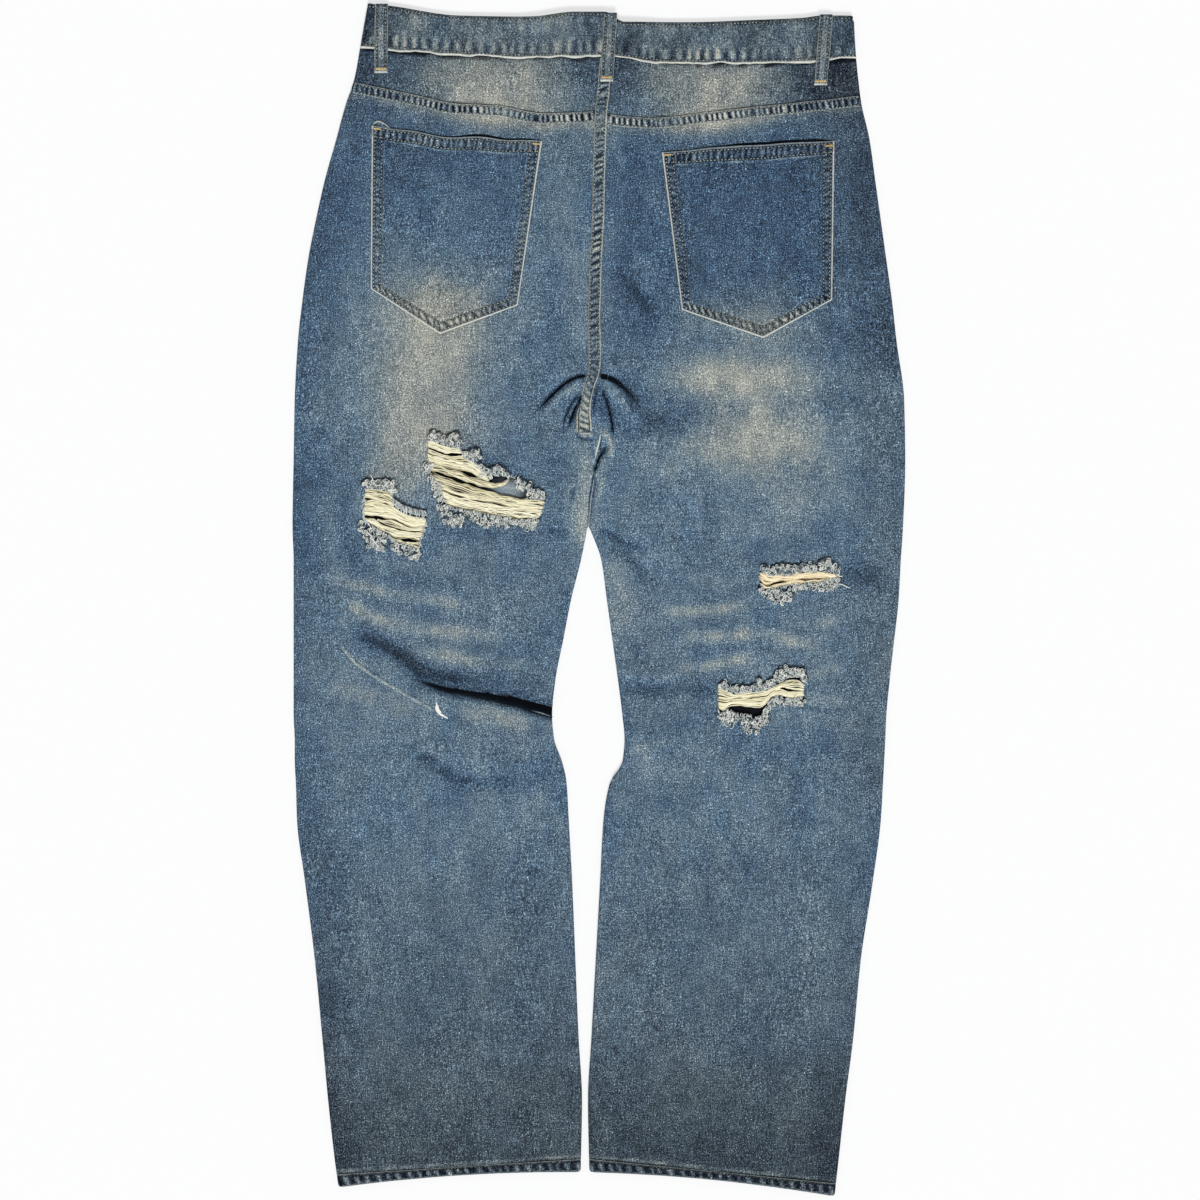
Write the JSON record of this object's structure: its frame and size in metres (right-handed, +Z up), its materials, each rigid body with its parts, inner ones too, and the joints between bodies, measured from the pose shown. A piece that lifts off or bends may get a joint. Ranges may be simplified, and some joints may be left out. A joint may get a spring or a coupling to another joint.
{
  "type": "ripped jeans",
  "caption": "Straight-leg denim jeans lying flat with the back up, faded and whiskered, with frayed rips across the thighs and knees.",
  "frame": {"origin": "on the surface the garment lies on, under the middle of its outline", "axes": "+Z up from the surface, out of the back of the jeans; +Y along the length towards the waist; +X towards the wearer's right"},
  "size_m": [0.552, 1.0738, 0.0104],
  "materials": {
    "denim": "washed blue denim twill, faded on seat and thighs, whiskered at the knees",
    "denim_waist": "washed blue denim twill, faded to beige grey",
    "denim_trim": "darker blue denim twill with worn pale edges",
    "weft_thread": "bare cream cotton weft threads",
    "fringe": "curled grey-white cotton fray",
    "zip_tape": "woven tape with closed metal teeth",
    "button_metal": "worn antique brass, plain"
  },
  "bodies": {
    "root": {"back_left": "denim", "back_right": "denim", "front_left": "denim", "front_right": "denim", "yoke_left": "denim_waist", "yoke_right": "denim_waist", "waistband": "denim_waist", "pocket_left": "denim_trim", "pocket_right": "denim_trim", "facing_left": "denim_trim", "facing_right": "denim_trim", "fly": "denim_trim", "loop_back_left": "denim_trim", "loop_back_centre": "denim_trim", "loop_back_right": "denim_trim", "loop_front_left": "denim_trim", "loop_front_right": "denim_trim", "hem_left": "denim_trim", "hem_right": "denim_trim", "threads_a": "weft_thread", "threads_b": "weft_thread", "threads_c": "weft_thread", "threads_d": "weft_thread", "fray_a_top": "fringe", "fray_a_foot": "fringe", "fray_b_top": "fringe", "fray_b_foot": "fringe", "fray_c_top": "fringe", "fray_c_foot": "fringe", "fray_d_top": "fringe", "fray_d_foot": "fringe", "zip": "zip_tape", "button": "button_metal"}
  },
  "joints": []
}
